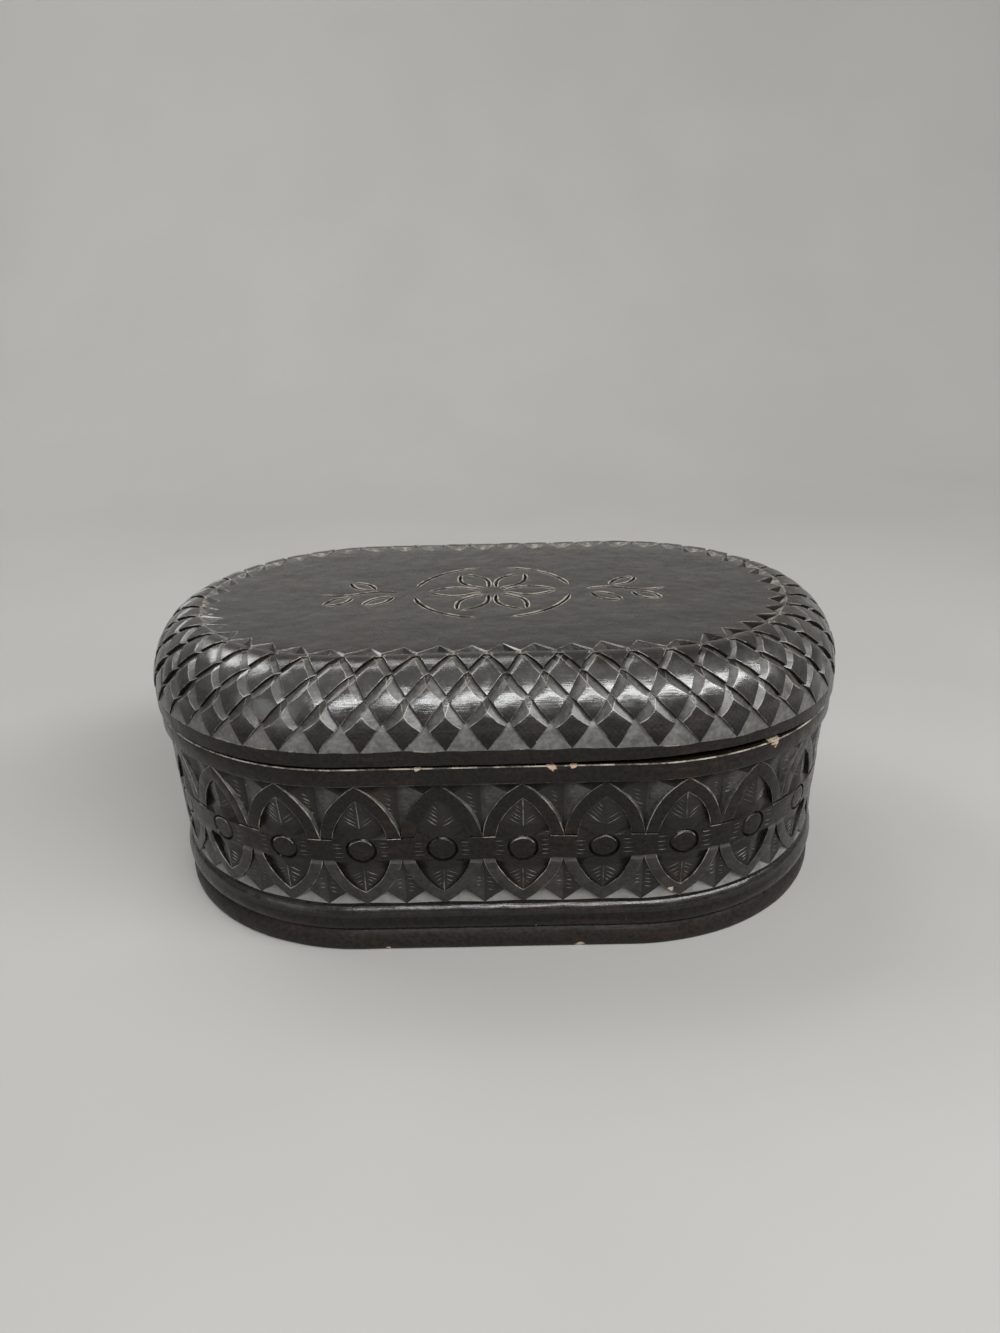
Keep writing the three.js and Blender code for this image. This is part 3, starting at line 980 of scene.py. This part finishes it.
def ebonised_wood(name, finish, wood, roughness, chips):
    """Black-brown wood, burnished on its high faces, dull in its cuts, worn pale on its edges, with painted
    light and shade.
    """
    material, n, place = new_material(name)
    along = n.add("ShaderNodeMapping", {"Vector": place, "Scale": (55.0, 700.0, 700.0)}).outputs[0]
    fibre = n.add("ShaderNodeMapping", {"Vector": place, "Scale": (220.0, 3200.0, 3200.0)}).outputs[0]
    grain = n.noise(along, 1.0, 6.0, 0.6)
    fibres = n.noise(fibre, 1.0, 3.0, 0.6)
    cloud = n.noise(place, 45.0, 3.0)
    patch = n.noise(place, 260.0, 4.0, 0.65)
    marks = n.noise(place, 900.0, 3.0, 0.6)

    relief, worn, cut, level, dark = (
        n.add("ShaderNodeAttribute", attribute_name=layer).outputs["Fac"]
        for layer in ("relief", "worn", "cut", "level", "dark"))
    deep = n.ramp(relief, -0.9, -1.6)

    # Stained wood with its grain, then the haze on what looks up: dust haze and painted light from above,
    # lightest as a bloom on the shoulder's slopes
    brown = n.times(n.ramp(grain, 0.48, 0.7), n.ramp(cloud, 0.42, 0.62), True)
    shade = n.mix(brown, wood, finish.brown)
    shade = n.mix(n.ramp(marks, 0.42, 0.62, 0.0, 0.5), shade, (0.0, 0.0, 0.0))
    haze_and_top_light = n.times(n.ramp(level, 0.05, 0.75), n.ramp(patch, 0.3, 0.7, 0.65, 1.0), True)
    haze_and_top_light = n.times(haze_and_top_light, n.math("SUBTRACT", 1.0, dark, True))
    haze_and_top_light_tint = n.mix(n.ramp(cloud, 0.38, 0.62), finish.haze_and_top_light, finish.russet)
    haze_and_top_light_tint = n.mix(n.ramp(level, 0.8, 0.98), finish.bloom_and_shoulder_light, haze_and_top_light_tint)
    shade = n.mix(haze_and_top_light, shade, haze_and_top_light_tint)

    # Dust in the cuts, with light painted on some facets, painted shade in the deepest cuts, facets rubbed
    # pale, and worn edges with a painted highlight where they look up
    dust_and_facet_light_mask = n.times(cut, n.ramp(patch, 0.3, 0.65, 0.55, 1.0), True)
    dust_and_facet_light_tints = [[c * share for c in finish.dust_and_facet_light] for share in (0.65, 1.2)]
    shade = n.mix(dust_and_facet_light_mask, shade, n.mix(n.ramp(marks, 0.36, 0.64), *dust_and_facet_light_tints))
    # Painted shade: the deepest cuts are darkened back to the bare stain
    shade = n.mix(n.times(deep, 0.6), shade, finish.wood)
    rubbed = n.times(n.ramp(cut, 1.0, 2.0), n.ramp(patch, 0.35, 0.6, 0.3, 1.0), True)
    shade = n.mix(rubbed, shade, finish.pale)
    # Worn edges: wear, made brighter where the edge looks up as a painted highlight
    wear_and_edge_highlight = n.times(worn, n.ramp(patch, 0.4, 0.62, 0.15, 1.0), True)
    wear_and_edge_highlight = n.times(wear_and_edge_highlight, n.ramp(level, -0.7, 0.3, 0.55, 1.0))
    shade = n.mix(wear_and_edge_highlight, shade, finish.worn)

    # Pale specks: dust, and painted glints
    cells = n.add("ShaderNodeTexVoronoi", {"Vector": place, "Scale": 170.0, "Randomness": 1.0})
    dust_speck_and_glint = n.math("LESS_THAN", cells.outputs["Distance"], 0.03)
    chance = n.add("ShaderNodeSeparateColor", {0: cells.outputs["Color"]}).outputs[0]
    dust_speck_and_glint = n.times(dust_speck_and_glint, n.math("GREATER_THAN", chance, 0.7))
    shade = n.mix(dust_speck_and_glint, shade, (0.32, 0.3, 0.26))

    # Chips where the stain has gone and the bare wood shows
    bare = 0.0
    for *spot, radius in chips:
        middle = [c * MM for c in spot]
        far = n.add("ShaderNodeVectorMath", {0: place, 1: middle}, operation="DISTANCE").outputs["Value"]
        edge = n.times(n.math("SUBTRACT", patch, 0.5), radius * MM * 3.2)
        inside = n.ramp(n.math("ADD", far, edge), radius * MM, radius * MM * 0.75)
        bare = n.math("MAXIMUM", inside, bare)
    if chips:
        shade = n.mix(bare, shade, n.mix(n.ramp(patch, 0.4, 0.6), finish.bare, finish.worn))

    gloss = n.ramp(patch, 0.3, 0.7, roughness - 0.07, roughness + 0.09)
    gloss = n.math("ADD", gloss, n.times(fibres, 0.06))
    gloss = n.blend(dust_and_facet_light_mask, gloss, 0.45)
    gloss = n.blend(n.math("MAXIMUM", n.math("MAXIMUM", dust_speck_and_glint, bare), rubbed), gloss, 0.8)
    sheen = n.ramp(level, 0.02, 0.4, finish.sheen_low, finish.sheen_high)
    sheen = n.times(sheen, n.ramp(level, 0.93, 0.99, 1.0, 0.6))
    sheen = n.blend(dark, sheen, finish.sheen_low)

    height = n.times(grain, 0.45)
    for texture, share in ((fibres, 0.2), (patch, 0.5), (marks, 0.16)):
        height = n.math("ADD", height, n.times(texture, share))
    fine = n.add("ShaderNodeBump", {"Strength": 0.6, "Distance": 0.00024, "Height": height}).outputs[0]
    slow = n.add("ShaderNodeBump", {
        "Strength": 0.35, "Distance": 0.0018, "Height": n.noise(place, 85.0, 2.0), "Normal": fine}).outputs[0]
    shader = n.add("ShaderNodeBsdfPrincipled", {
        "Base Color": shade, "Roughness": gloss, "Specular IOR Level": sheen, "Normal": slow,
        "Coat Weight": n.times(sheen, finish.wax), "Coat Roughness": roughness, "Coat Normal": slow})
    n.add("ShaderNodeOutputMaterial", {"Surface": shader.outputs[0]})
    return material


def plain_material(name, tint, roughness):
    material, n, place = new_material(name)
    cloud = n.noise(place, 6.0, 3.0)
    shade = n.mix(n.ramp(cloud, 0.35, 0.65), tint, [c * 0.96 for c in tint])
    shader = n.add("ShaderNodeBsdfPrincipled", {"Base Color": shade, "Roughness": roughness})
    n.add("ShaderNodeOutputMaterial", {"Surface": shader.outputs[0]})
    return material


# Stage

def set_floor(stage):
    """A floor that sweeps up into a backdrop behind the box."""
    bench = bmesh.new()
    line = [(-3.0, 0.0)]
    for i in range(13):
        turn = pi / 2 * i / 12
        line.append((0.4 + 0.4 * sin(turn), 0.4 - 0.4 * cos(turn)))
    line.append((0.8, 3.0))
    sheet(bench, [[(x, y, z) for x in (-4.0, 4.0)] for y, z in line])
    bmesh.ops.recalc_face_normals(bench, faces=bench.faces[:])
    mesh = as_mesh(bench, "sweep")
    mesh.shade_smooth()
    mesh.materials.append(plain_material("pale_sweep", stage.floor_colour, 0.85))
    sweep = put("sweep", mesh)


def set_camera():
    """The photograph's place and angle."""
    pitch, yaw, roll = (radians(a) for a in (-22.92, -0.67, -1.57))
    ahead = Vector((sin(yaw) * cos(pitch), cos(yaw) * cos(pitch), sin(pitch)))
    right = Vector((cos(yaw), -sin(yaw), 0))
    above = right.cross(ahead)
    turned_right = right * cos(roll) + above * sin(roll)
    turned_above = above * cos(roll) - right * sin(roll)
    data = bpy.data.cameras.new("photo_view")
    data.lens = 27.72
    data.sensor_width = 36.0
    data.clip_start = 0.01
    camera = put("photo_view", data)
    axes = Matrix((turned_right, turned_above, -ahead)).transposed()
    camera.matrix_world = Matrix.Translation(Vector((5.0, -287.6, 179.3)) * MM) @ axes.to_4x4()
    bpy.context.scene.camera = camera


def soft_light(name, place, target, size, power):
    data = bpy.data.lights.new(name, "AREA")
    data.shape = "RECTANGLE"
    data.size, data.size_y = size
    data.energy = power
    aim = Vector(target) - Vector(place)
    turn = aim.to_track_quat("-Z", "Y").to_matrix().to_4x4()
    put(name, data).matrix_world = Matrix.Translation(Vector(place)) @ turn


def set_world(stage):
    """Soft light from above that falls off towards the floor. The camera alone sees a plain pale tone."""
    world = bpy.data.worlds.new("studio")
    bpy.context.scene.world = world
    world.use_nodes = True
    n = Nodes(world.node_tree)
    place = n.add("ShaderNodeTexCoord").outputs["Generated"]
    rise = n.add("ShaderNodeSeparateXYZ", {0: place}).outputs["Z"]
    strength = n.ramp(rise, -0.1, 0.9, stage.world_low, stage.world_high)
    seen = n.add("ShaderNodeLightPath").outputs["Is Camera Ray"]
    strength = n.blend(seen, strength, stage.backdrop)
    shader = n.add("ShaderNodeBackground", {"Color": (0.93, 0.95, 1.0, 1.0), "Strength": strength})
    n.add("ShaderNodeOutputWorld", {"Surface": shader.outputs[0]})


# Add-on

class BoxSizes(bpy.types.PropertyGroup):
    scales_round: IntProperty(
        name="Scales round", description="Scales in each row round the lid", default=52, min=24, max=90)
    ovals_round: IntProperty(
        name="Ovals round", description="Ovals round the frieze", default=25, min=12, max=50)
    notch_reach: FloatProperty(
        name="Notch reach", description="Reach of the notches over the top", default=5.2 * MM, unit="LENGTH")


def tint(name, description, default):
    return FloatVectorProperty(name=name, description=description, subtype="COLOR", default=default)


def fraction(name, description, default, least=0.0):
    return FloatProperty(
        name=name, description=description, default=default, min=least, max=1.0, subtype="FACTOR")


def strength(name, description, default):
    return FloatProperty(name=name, description=description, default=default, min=0.0)


class BoxFinish(bpy.types.PropertyGroup):
    wood: tint("Wood", "Ebonised wood", (0.0115, 0.0098, 0.0084))
    board: tint("Board", "Board, with less stain left", (0.019, 0.0155, 0.013))
    brown: tint("Brown", "Brown streaks in the grain", (0.032, 0.0175, 0.0125))
    # The haze, russet and bloom tints are dust haze and also painted light from above, on faces that look up
    haze_and_top_light: tint("Haze", "Haze on the surfaces that face up", (0.0145, 0.0135, 0.012))
    russet: tint("Russet haze", "Haze that lets the red-brown wood through", (0.0175, 0.0125, 0.0107))
    bloom_and_shoulder_light: tint("Bloom", "Dusty bloom on the shoulder's slopes", (0.053, 0.0505, 0.046))
    # The dulled cut colour is dust, and also painted light where one side of a chip is lighter
    dust_and_facet_light: tint("Dulled cuts", "Dull colour low in the carving", (0.103, 0.0995, 0.092))
    # The pale colour also paints light on the notches' base facets
    pale: tint("Pale cuts", "Facets rubbed pale at the frieze's foot", (0.175, 0.17, 0.158))
    # The worn colour is wear, and also a painted highlight on edges that look up
    worn: tint("Worn edge", "Colour of rubbed edges", (0.46, 0.42, 0.35))
    bare: tint("Bare wood", "Wood where the stain has chipped off", (0.5, 0.33, 0.2))
    gloss: fraction("Roughness", "Roughness of the burnished faces", 0.2, 0.05)
    board_gloss: fraction("Board roughness", "Roughness of the board", 0.42, 0.05)
    wax: fraction("Wax", "Weight of the wax coat", 0.35)
    sheen_low: fraction("Side sheen", "Specular level of upright faces", 0.2)
    sheen_high: fraction("Top sheen", "Specular level of faces that look up", 1.0)


class StageSettings(bpy.types.PropertyGroup):
    floor_colour: tint("Floor", "Colour of the floor and backdrop", (0.47, 0.462, 0.44))
    world_low: strength("Low light", "Strength of the light near the horizon", 0.1)
    world_high: strength("High light", "Strength of the light overhead", 0.24)
    backdrop: strength("Backdrop", "Strength of the tone beyond the floor", 0.5)
    window_power: strength("Window light", "Watts of the long lamp above the front's right", 12.2)
    ceiling_power: strength("Ceiling light", "Watts of the lamp overhead", 1.0)
    back_power: strength("Back light", "Watts of the lamp above the back's left", 2.4)
    fill_power: strength("Fill light", "Watts of the low lamp on the left", 0.9)


class TRINKET_OT_lid(bpy.types.Operator):
    """Carve the lid: scales on its shoulder, notches round its top, ornament, rebate and hollow"""
    bl_idname = "trinket.carve_lid"
    bl_label = "Carve Lid"

    def execute(self, context):
        finish = context.scene.box_finish
        material = ebonised_wood("lid_finish", finish, finish.wood, finish.gloss, (
            (-83.5, -6.5, 80.6, 1.2), (-79.5, -15.0, 81.0, 1.3), (-84.0, 5.0, 80.5, 0.8),
            (-83.0, 27.0, 80.5, 0.8), (83.9, 4.3, 80.8, 0.9), (85.0, 12.0, 80.4, 0.8),
            (76.6, -22.5, 81.2, 0.8), (-46.0, -57.0, 59.0, 0.8)))
        carve_lid(context.scene.box_sizes, material)
        return {"FINISHED"}


class TRINKET_OT_wall(bpy.types.Operator):
    """Carve the wall: oval frieze, rim band, torus and the lip inside the rim"""
    bl_idname = "trinket.carve_wall"
    bl_label = "Carve Wall"

    def execute(self, context):
        finish = context.scene.box_finish
        material = ebonised_wood("wall_finish", finish, finish.wood, finish.gloss, (
            (-19.0, -62.0, 57.0, 1.0), (14.0, -62.0, 57.0, 1.4), (20.0, -62.0, 57.0, 1.0),
            (72.0, -50.0, 57.0, 2.0), (46.0, -59.0, 17.0, 1.0)))
        carve_wall(context.scene.box_sizes, material)
        return {"FINISHED"}


class TRINKET_OT_board(bpy.types.Operator):
    """Shape the board that closes the box underneath"""
    bl_idname = "trinket.shape_board"
    bl_label = "Shape Board"

    def execute(self, context):
        finish = context.scene.box_finish
        material = ebonised_wood("board_finish", finish, finish.board, finish.board_gloss, (
            (-30.0, -60.0, 0.5, 0.9), (22.0, -60.0, 0.5, 1.3)))
        shape_board(context.scene.box_sizes, material)
        return {"FINISHED"}


class TRINKET_OT_stage(bpy.types.Operator):
    """Set the floor, the soft lights and the camera"""
    bl_idname = "trinket.set_stage"
    bl_label = "Set Stage"

    def execute(self, context):
        stage = context.scene.box_stage
        context.scene.view_settings.view_transform = "Standard"
        set_camera()
        set_floor(stage)
        set_world(stage)
        middle = (0.0, 0.0, 0.05)
        soft_light("window", (0.38, -0.6, 0.72), middle, (1.5, 0.24), stage.window_power)
        soft_light("ceiling", (-0.15, 0.35, 0.95), middle, (0.4, 0.18), stage.ceiling_power)
        soft_light("back", (-0.55, 0.3, 0.75), (-0.15, 0.25, 0.05), (0.5, 0.3), stage.back_power)
        soft_light("fill", (-0.8, -0.7, 0.35), middle, (0.5, 0.5), stage.fill_power)
        return {"FINISHED"}


class TRINKET_PT_panel(bpy.types.Panel):
    """Lists the box's sizes, finish and steps"""
    bl_label = "Trinket Box"
    bl_space_type = "VIEW_3D"
    bl_region_type = "UI"
    bl_category = "Trinket Box"

    def draw(self, context):
        layout = self.layout
        for name, group in GROUPS.items():
            for setting in group.__annotations__:
                layout.prop(getattr(context.scene, name), setting)
        for step_id in STEPS:
            layout.operator(step_id)


GROUPS = {"box_sizes": BoxSizes, "box_finish": BoxFinish, "box_stage": StageSettings}
STEPS = ("trinket.set_stage", "trinket.carve_lid", "trinket.carve_wall", "trinket.shape_board")
CLASSES = (*GROUPS.values(), TRINKET_OT_lid, TRINKET_OT_wall, TRINKET_OT_board, TRINKET_OT_stage,
           TRINKET_PT_panel)


def register():
    for item in CLASSES:
        bpy.utils.register_class(item)
    for name, group in GROUPS.items():
        setattr(bpy.types.Scene, name, PointerProperty(type=group))


def unregister():
    for name in GROUPS:
        delattr(bpy.types.Scene, name)
    for item in reversed(CLASSES):
        bpy.utils.unregister_class(item)


def main():
    register()
    bpy.ops.trinket.set_stage()
    bpy.ops.trinket.carve_lid()
    bpy.ops.trinket.carve_wall()
    bpy.ops.trinket.shape_board()


if __name__ == "__main__":
    main()
